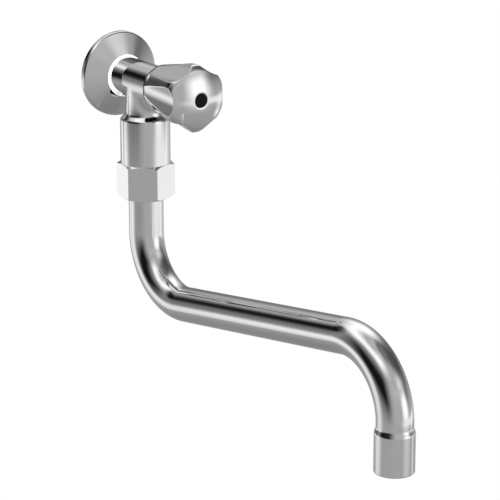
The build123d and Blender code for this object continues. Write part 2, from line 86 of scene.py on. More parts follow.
class Recipe:
    """The node tree of one material or of the world."""

    def __init__(self, owner):
        owner.use_nodes = True
        self.tree = owner.node_tree
        self.tree.nodes.clear()

    def node(self, kind, settings=None, inputs=None, output=0):
        """Add a node: its settings, then its sockets' values or links. Returns one output, if any."""
        made = self.tree.nodes.new(kind)
        for name, value in (settings or {}).items():
            setattr(made, name, value)
        for name, value in (inputs or {}).items():
            socket = self.find(made.inputs, name)
            if isinstance(value, Wire):
                self.tree.links.new(value.socket, socket)
            else:
                socket.default_value = value
        return Wire(self, self.find(made.outputs, output)) if made.outputs else None

    def find(self, sockets, name):
        """A socket by its number, its identifier or its name."""
        if isinstance(name, int):
            return sockets[name]
        return next((socket for socket in sockets if socket.identifier == name), None) or sockets[name]

    def place(self):
        """The place on the piece, in metres from the inlet."""
        return self.node("ShaderNodeTexCoord", output="Object")

    def axes(self, vector):
        """The three parts of a vector."""
        split = self.node("ShaderNodeSeparateXYZ", inputs={"Vector": vector})
        return [Wire(self, split.socket.node.outputs[name]) for name in "XYZ"]

    def noise(self, vector, scale, detail=3.0, roughness=0.5):
        """Cloudy noise around 0.5; the scale is features per metre."""
        inputs = {"Vector": vector, "Scale": scale, "Detail": detail, "Roughness": roughness}
        return self.node("ShaderNodeTexNoise", inputs=inputs)

    def step(self, value, low, high):
        """0 below low, 1 above high and smooth between; low may be the larger one."""
        inputs = {"Value": value, "From Min": low, "From Max": high}
        return self.node("ShaderNodeMapRange", {"interpolation_type": "SMOOTHSTEP"}, inputs)

    def blend(self, factor, first, second):
        """The first colour where the factor is 0, the second where it is 1."""
        inputs = {"Factor_Float": factor, "A_Color": first, "B_Color": second}
        return self.node("ShaderNodeMix", {"data_type": "RGBA"}, inputs, output="Result_Color")

    def bump(self, height, distance, strength=1.0):
        """A normal from a height between 0 and 1, over that distance in metres."""
        inputs = {"Height": height, "Distance": distance, "Strength": strength}
        return self.node("ShaderNodeBump", inputs=inputs)

    def rays(self):
        """Whether a ray is seen straight or through something clear, and whether it is mirrored."""
        path = self.node("ShaderNodeLightPath", output="Is Camera Ray")
        clear, mirrored = (Wire(self, path.socket.node.outputs[name])
                           for name in ("Is Transmission Ray", "Is Glossy Ray"))
        return path.maths("MAXIMUM", path, clear), mirrored

    def surface(self, shader):
        """Make this shader the material's surface."""
        self.node("ShaderNodeOutputMaterial", inputs={"Surface": shader})


def colour(values, share=1.0):
    """A property's colour, at that share of its brightness, as the four numbers that a socket takes."""
    return (*(part * share for part in values), 1.0)


def material(name):
    """A new material and its empty recipe."""
    made = bpy.data.materials.new(name)
    return made, Recipe(made)


def dress(made, *names):
    """Give these CAD nodes that material."""
    for name in names:
        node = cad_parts[name]
        node.data.materials.clear()
        node.data.materials.append(made)


# ---------------------------------------------------------------- settings
def length(name, description, default):
    """A size in metres."""
    return FloatProperty(
        name=name, description=description, default=default, min=0, unit="LENGTH", precision=5,
    )


class FaucetFinish(bpy.types.PropertyGroup):
    """Colours and polish of the faucet's materials."""

    chrome: FloatVectorProperty(
        name="Chrome", description="Colour of the plating", subtype="COLOR",
        default=(0.90, 0.90, 0.905), min=0, max=1,
    )
    polish: FloatProperty(
        name="Polish", description="Mean roughness of the plating",
        default=0.035, min=0, max=1,
    )
    # Painted shade: the dark colour of the band along the handle's rear rim, where the handle meets the
    # barrel.
    painted_rim_shade: FloatVectorProperty(
        name="Painted rim shade", description="Colour of the painted shade on the handle's rear rim", subtype="COLOR",
        default=(0.09, 0.09, 0.091), min=0, max=1,
    )
    brass: FloatVectorProperty(
        name="Brass", description="Colour of the machined brass", subtype="COLOR",
        default=(0.72, 0.49, 0.20), min=0, max=1,
    )
    steel: FloatVectorProperty(
        name="Steel", description="Colour of the screws, the circlip and the handle's bare inside",
        subtype="COLOR", default=(0.60, 0.59, 0.57), min=0, max=1,
    )
    rubber: FloatVectorProperty(
        name="Rubber", description="Colour of the rubber rings and washer", subtype="COLOR",
        default=(0.018, 0.018, 0.019), min=0, max=1,
    )
    fibre: FloatVectorProperty(
        name="Fibre", description="Colour of the fibre gasket", subtype="COLOR",
        default=(0.30, 0.07, 0.04), min=0, max=1,
    )
    acetal: FloatVectorProperty(
        name="Acetal", description="Colour of the slide rings, the insert and the aerator", subtype="COLOR",
        default=(0.74, 0.74, 0.71), min=0, max=1,
    )
    plug: FloatVectorProperty(
        name="Plug", description="Colour of the plug in the handle", subtype="COLOR",
        default=(0.004, 0.004, 0.0045), min=0, max=1,
    )


class FaucetHandle(bpy.types.PropertyGroup):
    """Shape of the six-lobed handle, from its rear edge to its dome."""

    rear_out: length("Rear edge", "Wall to the rear edge", 0.0497)
    rear_radius: length("Rear radius", "Radius of the rear edge", 0.0144)
    crest_out: length("Crest", "Wall to the widest point of the lobes", 0.085)
    crest_radius: length("Crest radius", "Radius over the lobes", 0.0212)
    front_out: length("Front", "Wall to the middle of the dome", 0.0927)
    dome_rise: length("Dome rise", "Height of the dome", 0.0032)
    dome_radius: length("Dome radius", "Radius at the edge of the dome", 0.017)
    side_bulge: length("Side bulge", "How far the side stands out of a straight cone", 0.00025)
    rear_edge: length("Rear edge rounding", "Rounding of the rear edge", 0.0009)
    flute_rear: length("Flute at the rear", "Radius to the flute's bottom at the rear edge", 0.0142)
    flute_crest: length("Flute at the crest", "Radius to the flute's bottom at the crest", 0.0179)
    flute_radius: length("Flute radius", "Radius of the flute's round bottom", 0.026)
    flute_blend: length("Flute edge", "Softness of the edge between flute and lobe", 0.0003)
    mouth_radius: length("Mouth radius", "Inside radius of the skirt at the rear", 0.0133)
    cavity_radius: length("Cavity radius", "Inside radius of the skirt at its floor", 0.0155)
    cavity_out: length("Cavity floor", "Wall to the cavity's floor", 0.0872)
    hub_radius: length("Hub radius", "Radius of the hub in the cavity", 0.0085)
    hub_out: length("Hub", "Wall to the hub's rear face", 0.07005)
    insert_radius: length("Insert bore", "Radius of the insert's bore", 0.00635)
    insert_out: length("Insert seat", "Wall to the floor of the insert's bore", 0.08105)
    plug_radius: length("Plug bore", "Radius of the plug's bore", 0.00445)
    plug_edge: length("Plug bore edge", "Chamfer at the mouth of the plug's bore", 0.0005)
    lobes: IntProperty(name="Lobes", description="Number of lobes", default=6, min=2)


class FaucetBody(bpy.types.PropertyGroup):
    """The machined bores of the cast body and its inlet thread."""

    bore_radius: length("Inlet bore", "Radius of the waterway", 0.0065)
    chamber_radius: length("Machined barrel", "Bare brass within this radius of the body axis", 0.010)
    swivel_out: length("Swivel axis", "Wall to the swivel axis", 0.031)
    socket_radius: length("Machined socket", "Bare brass within this radius of the swivel axis", 0.0102)
    collar_radius: length("Machined collar", "Bare brass within this radius in the collar", 0.0134)
    collar_floor: length("Collar floor", "Body axis down to the top of the collar's thread", 0.0339)
    thread_radius: length("Thread radius", "Radius over the inlet thread's crests", 0.010475)
    thread_length: length("Thread length", "Length of the inlet thread", 0.018)
    thread_pitch: length("Thread pitch", "Fourteen threads to the inch", 0.001814)
    thread_depth: length("Thread depth", "Crest to root", 0.001162)
    thread_chamfer: length("Thread chamfer", "Chamfer at the inlet's end", 0.0012)


class FaucetRosette(bpy.types.PropertyGroup):
    """Shape of the wall rosette."""

    rim_radius: length("Rim radius", "Radius of the rosette", 0.027)
    rim_depth: length("Rim depth", "Depth of the straight rim", 0.0033)
    rim_edge: length("Rim edge", "Rounding between rim and cone", 0.001)
    cone_out: length("Cone", "Wall to the top of the cone", 0.00988)
    ring_radius: length("Ring radius", "Radius of the white ring where it leaves the cone", 0.0134)
    ring_out: length("Ring", "Wall to the white ring's front", 0.0101)
    ring_taper: length("Ring taper", "How far the ring leans in over its height", 0.0001)
    ring_edge: length("Ring edge", "Rounding of the ring", 0.00015)
    bore_radius: length("Bore", "Radius of the bore round the barrel", 0.01245)
    ring_bore: length("Ring bore", "Radius of the white ring's bore, snug on the barrel", 0.01227)
    hub_out: length("Hub", "Wall to the hub's rear face", 0.0048)
    hub_radius: length("Hub radius", "Radius of the hub behind the cone", 0.0145)
    groove_radius: length("Groove radius", "Radius of the grip ring's groove", 0.0138)
    groove_rear: length("Groove rear", "Wall to the rear side of the groove", 0.0071)
    groove_front: length("Groove front", "Wall to the front side of the groove", 0.0087)
    wall: length("Wall", "Thickness of the sheet", 0.0012)
    ring_colour: FloatVectorProperty(
        name="Ring colour", description="Colour of the plastic ring round the barrel", subtype="COLOR",
        default=(0.93, 0.93, 0.92), min=0, max=1,
    )


class FaucetSpout(bpy.types.PropertyGroup):
    """Shape of the bent spout tube and its outlet."""

    radius: length("Tube radius", "Radius of the tube", 0.011)
    wall: length("Wall", "Thickness of the tube's wall", 0.0015)
    swivel_out: length("Swivel axis", "Wall to the swivel axis", 0.031)
    top: length("Tube's top", "Body axis down to the tube's top end", 0.0392)
    drop: length("Drop", "Body axis down to the lower corner of the centre line", 0.1413)
    reach: length("Reach", "Swivel axis to the outlet's axis", 0.25)
    arm_slope: FloatProperty(
        name="Arm slope", description="How far the arm rises above level", subtype="ANGLE",
        default=math.radians(8.5), min=0, max=1,
    )
    lower_bend: length("Lower bend", "Radius of the lower bend's centre line", 0.0384)
    upper_bend: length("Upper bend", "Radius of the upper bend's centre line", 0.0402)
    run: length("Straight run", "Straight tube from the upper bend down to the outlet", 0.001)
    step_down: length("Step", "End of that run down to the step", 0.0016)
    step_height: length("Step height", "Height of the step's slope", 0.0022)
    step_edge: length("Step rounding", "Rounding above and below the step", 0.0009)
    sleeve_radius: length("Sleeve radius", "Radius of the outlet's sleeve", 0.012)
    sleeve_end: length("Sleeve end", "End of the straight run down to the outlet", 0.0282)
    lip_edge: length("Outlet edge", "Rounding of the outlet's edge", 0.0008)
    thread_radius: length("Aerator thread", "Radius of the aerator's thread", 0.0109)
    thread_depth: length("Aerator depth", "Depth of the aerator's thread", 0.016)


class FaucetStage(bpy.types.PropertyGroup):
    """Floor, lamps and camera."""

    floor_drop: FloatProperty(
        name="Floor drop", description="Inlet down to the floor", unit="LENGTH", default=1.0, min=0.2,
    )
    floor_radius: FloatProperty(
        name="Floor radius", description="Radius of the floor", unit="LENGTH", default=1.6, min=1.0,
    )
    floor_colour: FloatVectorProperty(
        name="Floor colour", description="Colour of the floor", subtype="COLOR",
        default=(0.86, 0.86, 0.86), min=0, max=1,
    )
    floor_in_chrome: FloatVectorProperty(
        name="Floor in chrome", description="How bright the floor's middle and edge look in the plating",
        size=2, default=(0.24, 0.36), min=0, max=1,
    )
    key_power: FloatProperty(
        name="Key power", description="Power of the large lamp over the left shoulder, in watts",
        default=60.0, min=0, unit="POWER",
    )
    fill_power: FloatProperty(
        name="Fill power", description="Power of the fill lamp on the right, in watts",
        default=30.0, min=0, unit="POWER",
    )
    low_power: FloatProperty(
        name="Low power", description="Power of the lamp below the left shoulder, in watts",
        default=40.0, min=0, unit="POWER",
    )
    camera_place: FloatVectorProperty(
        name="Camera place", description="Where the camera stands", subtype="TRANSLATION",
        default=(-0.8807, -1.3409, 0.3783),
    )
    camera_yaw: FloatProperty(
        name="Camera yaw", description="Turn of the camera about the vertical", subtype="ANGLE",
        default=math.radians(-36.303),
    )
    camera_pitch: FloatProperty(
        name="Camera pitch", description="How far the camera looks down", subtype="ANGLE",
        default=math.radians(17.203),
    )
    camera_lens: FloatProperty(
        name="Camera lens", description="Focal length in millimetres on a 36 mm sensor",
        default=186.63, min=10, unit="CAMERA",
    )


# ---------------------------------------------------------------- modelling
OUT = Vector((0, -1, 0))
UP = Vector((0, 0, 1))
NEAR = 1e-5  # metres that count as no distance


def turned(shape, outline, centre, axis, across, steps, closed=True):
    """Spin an outline of (along the axis, radius) full circle; a closed outline makes a solid ring."""
    corners = [shape.verts.new(Vector(centre) + axis * along + across * radius) for along, radius in outline]
    pairs = list(zip(corners, corners[1:] + corners[:1]))
    lines = [shape.edges.new(pair) for pair in (pairs if closed else pairs[:-1])]
    bmesh.ops.spin(shape, geom=corners + lines, cent=centre, axis=axis, angle=2 * math.pi, steps=steps,
                   use_merge=True)


def ring_edges(shape, centre, axis, along, radius):
    """The edges of the circle at that place along the axis with that radius."""
    def lies_on(corner):
        offset = corner.co - Vector(centre)
        height = offset.dot(axis)
        return abs(height - along) < NEAR and abs((offset - axis * height).length - radius) < NEAR
    return [edge for edge in shape.edges if all(lies_on(corner) for corner in edge.verts)]


def rounded(shape, edges, offset, segments):
    """Round these edges."""
    bmesh.ops.bevel(shape, geom=edges, offset=offset, segments=segments, profile=0.5, affect="EDGES",
                    material=-1, clamp_overlap=True)


def finished(shape, name, body, materials, sharp=35.0):
    """Turn the shape into a piece that rides on a body, with smooth faces and sharp corners."""
    bmesh.ops.remove_doubles(shape, verts=shape.verts[:], dist=1e-7)
    bmesh.ops.recalc_face_normals(shape, faces=shape.faces[:])
    mesh = bpy.data.meshes.new(name)
    shape.to_mesh(mesh)
    shape.free()
    for one in materials:
        mesh.materials.append(one)
    mesh.shade_smooth()
    mesh.set_sharp_from_angle(angle=math.radians(sharp))
    piece = bpy.data.objects.new(name, mesh)
    bpy.context.scene.collection.objects.link(piece)
    weighted = piece.modifiers.new("weighted_normals", "WEIGHTED_NORMAL")
    weighted.keep_sharp = True
    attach(piece, body)
    return piece


def soft_least(first, second, softness):
    """The smaller of two numbers, rounded off where they are nearly equal."""
    near = max(softness - abs(first - second), 0.0) / softness
    return min(first, second) - near * near * softness / 4


LOBE_STEPS = 60  # straight steps round each lobe of the handle
SIDE_STEPS = 18  # straight steps along each stretch of the handle's side


class FAUCET_OT_handle(bpy.types.Operator):
    """Turn the lobed handle, press its flutes in and hollow its skirt."""

    bl_idname = "faucet.handle"
    bl_label = "Shape the handle"

    def execute(self, context):
        sizes = context.scene.faucet_handle
        finish = context.scene.faucet_finish
        shape = bmesh.new()
        outside = self.side(sizes)
        inside = [
            (sizes.front_out - sizes.plug_edge, sizes.plug_radius),
            (sizes.insert_out, sizes.plug_radius),
            (sizes.insert_out, sizes.insert_radius),
            (sizes.hub_out, sizes.insert_radius),
            (sizes.hub_out, sizes.hub_radius),
            (sizes.cavity_out, sizes.hub_radius),
            (sizes.cavity_out, sizes.cavity_radius),
            (sizes.rear_out, sizes.mouth_radius),
        ]
        turned(shape, outside + inside, (0, 0, 0), OUT, UP, steps=LOBE_STEPS * sizes.lobes)
        rear = ring_edges(shape, (0, 0, 0), OUT, sizes.rear_out, sizes.rear_radius)
        rounded(shape, rear, sizes.rear_edge, segments=4)
        self.press_flutes(shape, sizes)
        bmesh.ops.remove_doubles(shape, verts=shape.verts[:], dist=1e-7)
        for face in shape.faces:
            face.material_index = int(self.is_inside(face.calc_center_median(), sizes))
        # The handle's plating gets a band of painted shade along its rear rim.
        plated = chrome("plated_handle", finish, ripple=0.2, rim=sizes.rear_out)
        raw = turned_metal("raw_zinc", finish.steel, roughness=0.42, pitch=0.0009)
        piece = finished(shape, "lobed_handle", "turn_handle", [plated, raw])
        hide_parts("handle")
        return {"FINISHED"}

    def is_inside(self, place, sizes):
        """Whether a place lies in the skirt's cavity or on its wall."""
        out = -place.y
        widening = (sizes.cavity_radius - sizes.mouth_radius) / (sizes.cavity_out - sizes.rear_out)
        wall = sizes.mouth_radius + widening * (out - sizes.rear_out) + NEAR
        return out < sizes.cavity_out + NEAR and math.hypot(place.x, place.z) <= wall

    def side(self, sizes):
        """The side and dome as points (out of the wall, radius), from the rear edge to the plug's bore."""
        slope = (sizes.crest_radius - sizes.rear_radius) / (sizes.crest_out - sizes.rear_out)
        rear_slope = slope + 4 * sizes.side_bulge / (sizes.crest_out - sizes.rear_out)
        middle = ((sizes.rear_out + sizes.crest_out) / 2,
                  (sizes.rear_radius + sizes.crest_radius) / 2 + sizes.side_bulge)
        lean = 2 * math.atan2(sizes.dome_rise, sizes.dome_radius)
        stations = [
            ((sizes.rear_out, sizes.rear_radius), (1, rear_slope)),
            (middle, (1, slope)),
            ((sizes.crest_out, sizes.crest_radius), (1, 0)),
            ((sizes.front_out - sizes.dome_rise, sizes.dome_radius), (math.sin(lean), -math.cos(lean))),
            ((sizes.front_out, 0.0), (0, -1)),
        ]
        data = bpy.data.curves.new("handle_side", "CURVE")
        line = data.splines.new("BEZIER")
        line.bezier_points.add(len(stations) - 1)
        for index, (place, direction) in enumerate(stations):
            knot = line.bezier_points[index]
            here = Vector((*place, 0))
            ahead = Vector((*stations[min(index + 1, len(stations) - 1)][0], 0))
            back = Vector((*stations[max(index - 1, 0)][0], 0))
            heading = Vector((*direction, 0)).normalized()
            knot.co = here
            knot.handle_left_type = knot.handle_right_type = "FREE"
            knot.handle_right = here + heading * (ahead - here).length / 3
            knot.handle_left = here - heading * (here - back).length / 3
        line.resolution_u = SIDE_STEPS
        drawn = bpy.data.objects.new("handle_side", data)
        points = [tuple(corner.co.xy) for corner in drawn.to_mesh().vertices]
        drawn.to_mesh_clear()
        bpy.data.objects.remove(drawn)
        bpy.data.curves.remove(data)
        mouth = sizes.plug_radius + sizes.plug_edge
        kept = [place for place in points if place[1] > mouth + NEAR]
        return kept + [(sizes.front_out - sizes.dome_rise * (mouth / sizes.dome_radius) ** 2, mouth)]

    def press_flutes(self, shape, sizes):
        """Draw the outside in where a flute's round bottom lies under it."""
        rise = (sizes.flute_crest - sizes.flute_rear) / (sizes.crest_out - sizes.rear_out)
        share = 2 * math.pi / sizes.lobes
        plug_mouth = sizes.plug_radius + sizes.plug_edge
        for corner in shape.verts:
            radius = math.hypot(corner.co.x, corner.co.z)
            if self.is_inside(corner.co, sizes) or radius <= plug_mouth:
                continue
            angle = math.atan2(corner.co.x, corner.co.z) % share - share / 2
            middle = sizes.flute_rear + rise * (-corner.co.y - sizes.rear_out) + sizes.flute_radius
            reach = sizes.flute_radius ** 2 - (middle * math.sin(angle)) ** 2
            if reach <= 0:
                continue
            bottom = middle * math.cos(angle) - math.sqrt(reach)
            pressed = soft_least(radius, bottom, sizes.flute_blend)
            corner.co.x *= pressed / radius
            corner.co.z *= pressed / radius


# One thread's outline: share of the pitch, share of the depth above the root.
THREAD_FORM = ((0.0, 0.0), (0.14, 0.12), (0.42, 1.0), (0.58, 1.0), (0.86, 0.12), (1.0, 0.0))
THREAD_STEPS = 60  # straight steps in one turn of the thread


class FAUCET_OT_body(bpy.types.Operator):
    """Cut the plain tail off the cast body and put a pipe thread there."""

    bl_idname = "faucet.body"
    bl_label = "Thread the body"

    def execute(self, context):
        sizes = context.scene.faucet_body
        finish = context.scene.faucet_finish
        raw = turned_metal("raw_brass", finish.brass, roughness=0.3, pitch=0.0006)
        shape = bmesh.new()
        shape.from_mesh(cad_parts["tap_body"].data)
        bmesh.ops.remove_doubles(shape, verts=shape.verts[:], dist=1e-6)
        bmesh.ops.bisect_plane(shape, geom=shape.verts[:] + shape.edges[:] + shape.faces[:], dist=1e-6,
                               plane_co=(0, 0, 0), plane_no=(0, 1, 0), clear_outer=True)
        bmesh.ops.bridge_loops(shape, edges=[edge for edge in shape.edges if edge.is_boundary])
        if any(edge.is_boundary for edge in shape.edges):
            raise RuntimeError("The cast body isn't closed behind the barrel.")
        for face in shape.faces:
            face.material_index = int(self.is_machined(face.calc_center_median(), sizes))
        casting = finished(shape, "body_casting", "valve_housing",
                           [chrome("plated_body", finish), raw], sharp=28.0)
        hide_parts("tap_body")
        finished(self.thread(sizes), "inlet_thread", "valve_housing", [raw], sharp=25.0)
        return {"FINISHED"}

    def is_machined(self, place, sizes):
        """Whether a place on the casting lies in one of its machined bores."""
        from_swivel = math.hypot(place.x, place.y + sizes.swivel_out)
        in_socket = from_swivel < sizes.socket_radius and place.z < -sizes.bore_radius
        in_collar = from_swivel < sizes.collar_radius and place.z < -sizes.collar_floor
        return math.hypot(place.x, place.z) < sizes.chamber_radius or in_socket or in_collar

    def thread(self, sizes):
        """The threaded tail: one thread form spun along a helix, trimmed at both ends, with its bore."""
        shape = bmesh.new()
        pitch, depth = sizes.thread_pitch, sizes.thread_depth
        root = sizes.thread_radius - depth
        corners = [shape.verts.new((0, -pitch * (1 - along), root + depth * high))
                   for along, high in THREAD_FORM]
        edges = [shape.edges.new(pair) for pair in zip(corners, corners[1:])]
        turns = math.ceil(sizes.thread_length / pitch) + 2
        bmesh.ops.spin(shape, geom=corners + edges, cent=(0, 0, 0), axis=(0, 1, 0),
                       angle=2 * math.pi * turns, steps=THREAD_STEPS * turns,
                       dvec=(0, pitch / THREAD_STEPS, 0))
        bmesh.ops.remove_doubles(shape, verts=shape.verts[:], dist=1e-6)
        for corner in shape.verts:
            radius = math.hypot(corner.co.x, corner.co.z)
            limit = sizes.thread_radius - max(0.0, corner.co.y - sizes.thread_length + sizes.thread_chamfer)
            if radius > limit:
                corner.co.x *= limit / radius
                corner.co.z *= limit / radius
        for place, side in ((0.0, (0, -1, 0)), (sizes.thread_length, (0, 1, 0))):
            bmesh.ops.bisect_plane(shape, geom=shape.verts[:] + shape.edges[:] + shape.faces[:], dist=1e-7,
                                   plane_co=(0, place, 0), plane_no=side, clear_outer=True)
        turn = Matrix.Rotation(math.pi / 2, 4, "X")
        for place in (0.0, sizes.thread_length):
            rim = [edge for edge in shape.edges if edge.is_boundary
                   and all(abs(corner.co.y - place) < 1e-6 for corner in edge.verts)]
            bore = bmesh.ops.create_circle(shape, segments=THREAD_STEPS, radius=sizes.bore_radius,
                                           matrix=Matrix.Translation((0, place, 0)) @ turn)
            ring = list({edge for corner in bore["verts"] for edge in corner.link_edges})
            bmesh.ops.triangle_fill(shape, use_beauty=True, edges=rim + ring)
        open_edges = [edge for edge in shape.edges if edge.is_boundary]
        bmesh.ops.bridge_loops(shape, edges=open_edges)
        return shape


class FAUCET_OT_rosette(bpy.types.Operator):
    """Turn the wall rosette: rim, cone and the white ring round the barrel."""

    bl_idname = "faucet.rosette"
    bl_label = "Shape the rosette"

    def execute(self, context):
        sizes = context.scene.faucet_rosette
        slope = (sizes.cone_out - sizes.rim_depth) / (sizes.rim_radius - sizes.ring_radius)
        ring_front = sizes.ring_radius - sizes.ring_taper
        inside = sizes.rim_radius - sizes.wall
        rim_inside = sizes.rim_depth - sizes.wall * math.hypot(1, slope) + sizes.wall * slope
        outline = [
            (0.0, sizes.rim_radius),
            (sizes.rim_depth, sizes.rim_radius),
            (sizes.cone_out, sizes.ring_radius),
            (sizes.ring_out, ring_front),
            (sizes.ring_out, sizes.ring_bore),
            (sizes.cone_out - sizes.ring_edge, sizes.ring_bore),
            (sizes.cone_out - sizes.ring_edge, sizes.bore_radius),
            (sizes.groove_front, sizes.bore_radius),
            (sizes.groove_front, sizes.groove_radius),
            (sizes.groove_rear, sizes.groove_radius),
            (sizes.groove_rear, sizes.bore_radius),
            (sizes.hub_out, sizes.bore_radius),
            (sizes.hub_out, sizes.hub_radius),
            (rim_inside + (inside - sizes.hub_radius) * slope, sizes.hub_radius),
            (rim_inside, inside),
            (0.0, inside),
        ]
        centre = (0, 0, 0)
        shape = bmesh.new()
        turned(shape, outline, centre, OUT, UP, steps=180)
        rim_corner = ring_edges(shape, centre, OUT, sizes.rim_depth, sizes.rim_radius)
        rounded(shape, rim_corner, sizes.rim_edge, segments=6)
        ring_corner = ring_edges(shape, centre, OUT, sizes.ring_out, ring_front)
        rounded(shape, ring_corner, sizes.ring_edge, segments=3)
        for face in shape.faces:
            middle = face.calc_center_median()
            on_front = -middle.y > sizes.cone_out + NEAR
            in_bore = math.hypot(middle.x, middle.z) < sizes.ring_bore + 1e-6
            face.material_index = int(on_front or in_bore)
        plated = chrome("plated_rosette", context.scene.faucet_finish)
        ring = moulded("white_ring", sizes.ring_colour, roughness=0.5, grain=260.0, depth=0.0, shine=0.2)
        piece = finished(shape, "turned_rosette", "valve_housing", [plated, ring])
        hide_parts("wall_rosette")
        return {"FINISHED"}


TUBE_SIDES = 72  # flats round the tube
BEND_STEPS = 48  # straight steps along each bend


class FAUCET_OT_spout(bpy.types.Operator):
    """Bend the spout tube and draw out its end into the outlet's sleeve."""

    bl_idname = "faucet.spout"
    bl_label = "Bend the spout"

    def execute(self, context):
        sizes = context.scene.faucet_spout
        shape = bmesh.new()
        turn = math.pi / 2 + sizes.arm_slope
        lower_reach = sizes.lower_bend * math.tan(turn / 2)
        upper_reach = sizes.upper_bend * math.tan(turn / 2)
        arm = sizes.reach / math.cos(sizes.arm_slope) - lower_reach - upper_reach
        upper_corner = sizes.drop - sizes.reach * math.tan(sizes.arm_slope)
        outlet_out = sizes.swivel_out + sizes.reach
        lower_centre = (0, -sizes.swivel_out - sizes.lower_bend, lower_reach - sizes.drop)
        upper_centre = (0, sizes.upper_bend - outlet_out, -upper_corner - upper_reach)
        along_arm = Matrix.Rotation(-sizes.arm_slope, 3, "X") @ OUT

        ends = []
        for radius in (sizes.radius, sizes.radius - sizes.wall):
            ring = bmesh.ops.create_circle(
                shape, segments=TUBE_SIDES, radius=radius,
                matrix=Matrix.Translation((0, -sizes.swivel_out, -sizes.top)),
            )
            ends += ring["verts"]
        ends += list({edge for corner in ends for edge in corner.link_edges})
        bmesh.ops.bridge_loops(shape, edges=[item for item in ends if isinstance(item, bmesh.types.BMEdge)])
        ends = self.drawn_on(shape, ends, travel=UP * (sizes.top + lower_reach - sizes.drop))
        ends = self.drawn_on(shape, ends, -turn, lower_centre, steps=BEND_STEPS)
        ends = self.drawn_on(shape, ends, travel=along_arm * arm)
        ends = self.drawn_on(shape, ends, turn, upper_centre, steps=BEND_STEPS)
        self.drawn_on(shape, ends, travel=UP * -sizes.run)
        self.outlet(shape, sizes, -upper_corner - upper_reach - sizes.run, (0, -outlet_out, 0))
        bmesh.ops.remove_doubles(shape, verts=shape.verts[:], dist=2e-6)
        if any(edge.is_boundary for edge in shape.edges):
            raise RuntimeError("The spout's tube and outlet don't join.")
        piece = finished(shape, "bent_spout", "swivel_spout",
                         [chrome("plated_spout", context.scene.faucet_finish)])
        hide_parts("spout_tube")
        return {"FINISHED"}

    def drawn_on(self, shape, ends, angle=0.0, centre=(0, 0, 0), travel=(0, 0, 0), steps=1):
        """Draw the tube's two loops on, round a centre or straight; returns the new loops."""
        drawn = bmesh.ops.spin(shape, geom=ends, cent=centre, axis=(1, 0, 0), angle=angle, dvec=travel,
                               steps=steps)
        return [item for item in drawn["geom_last"] if not isinstance(item, bmesh.types.BMFace)]

    def outlet(self, shape, sizes, top, centre):
        """The sleeve under the tube's end, which is at that height."""
        low = top - sizes.sleeve_end
        step = top - sizes.step_down
        bore = sizes.radius - sizes.wall
        outline = [
            (top, sizes.radius),
            (step, sizes.radius),
            (step - sizes.step_height, sizes.sleeve_radius),
            (low, sizes.sleeve_radius),
            (low, sizes.thread_radius),
            (low + sizes.thread_depth, sizes.thread_radius),
            (low + sizes.thread_depth, bore),
            (top, bore),
        ]
        turned(shape, outline, centre, UP, OUT, steps=TUBE_SIDES, closed=False)
        for height, radius, edge in ((step, sizes.radius, sizes.step_edge),
                                     (step - sizes.step_height, sizes.sleeve_radius, sizes.step_edge),
                                     (low, sizes.sleeve_radius, sizes.lip_edge)):
            rounded(shape, ring_edges(shape, centre, UP, height, radius), edge, segments=5)


# ---------------------------------------------------------------- finishes
PLATED_NODES = ("wall_rosette", "union_nut", "tap_body", "handle", "spout_tube")
BRASS_NODES = ("valve_seat", "headwork_bonnet", "spindle", "valve_carrier", "spout_tail")
STEEL_NODES = ("washer_screw", "handle_screw", "spindle_circlip")
RUBBER_NODES = ("rosette_grip_ring", "seat_washer", "spindle_o_rings", "spout_o_rings", "aerator_gasket")
ACETAL_NODES = ("upper_slide_ring", "lower_slide_ring", "handle_insert", "aerator_housing", "jet_insert",
                "outlet_screen")


# The plating's roughness where its haze is least and most, as shares of the polish setting.
LEAST_HAZE, MOST_HAZE = 0.6, 1.5
# The band of painted shade along the handle's rear rim, in metres from where the rim starts: dark up to
# the first, plated from the second on, and how far its edge wavers.
RIM_DARK, RIM_PLATED, RIM_WAVER = 0.0014, 0.0030, 0.0012


def chrome(name, settings, ripple=0.0, rim=None):
    """Polished chrome plating: a faint cloudiness, fine polishing marks and the casting's soft ripple.

    The rim is where a band of painted shade starts on the handle's rear rim, in metres out of the wall.
    """
    made, recipe = material(name)
    place = recipe.place()
    cloud = recipe.noise(place, scale=28.0, detail=2.0)
    haze = recipe.noise(place, scale=420.0, detail=4.0, roughness=0.6)
    plating = recipe.blend(cloud, colour(settings.chrome), colour(settings.chrome, share=0.965))
    # Painted shade: the plating turns dark in a band just in front of the rim, where the handle meets the
    # barrel.
    if rim is not None:
        out = recipe.axes(place)[1] * -1.0
        painted_rim_shade = recipe.step(out + RIM_WAVER * (cloud - 0.5), rim + RIM_PLATED, rim + RIM_DARK)
        plating = recipe.blend(painted_rim_shade, plating, colour(settings.painted_rim_shade))
    inputs = {
        "Base Color": plating,
        "Metallic": 1.0,
        "Roughness": settings.polish * LEAST_HAZE + settings.polish * (MOST_HAZE - LEAST_HAZE) * haze,
    }
    if ripple:
        waves = recipe.noise(place, scale=62.0, detail=1.0)
        inputs["Normal"] = recipe.bump(waves, distance=0.00006, strength=ripple)
    recipe.surface(recipe.node("ShaderNodeBsdfPrincipled", inputs=inputs))
    return made


def turned_metal(name, tint, roughness, pitch):
    """Machined metal with the fine rings that the lathe left."""
    made, recipe = material(name)
    place = recipe.place()
    along = recipe.axes(place)[1]
    rings = recipe.node("ShaderNodeTexNoise", {"noise_dimensions": "1D"},
                        {"W": along, "Scale": 1 / pitch, "Detail": 2.0})
    stain = recipe.noise(place, scale=90.0)
    inputs = {
        "Base Color": recipe.blend(stain, colour(tint), colour(tint, share=0.82)),
        "Metallic": 1.0,
        "Roughness": roughness + 0.12 * stain,
        "Normal": recipe.bump(rings, distance=0.00002, strength=0.6),
    }
    recipe.surface(recipe.node("ShaderNodeBsdfPrincipled", inputs=inputs))
    return made


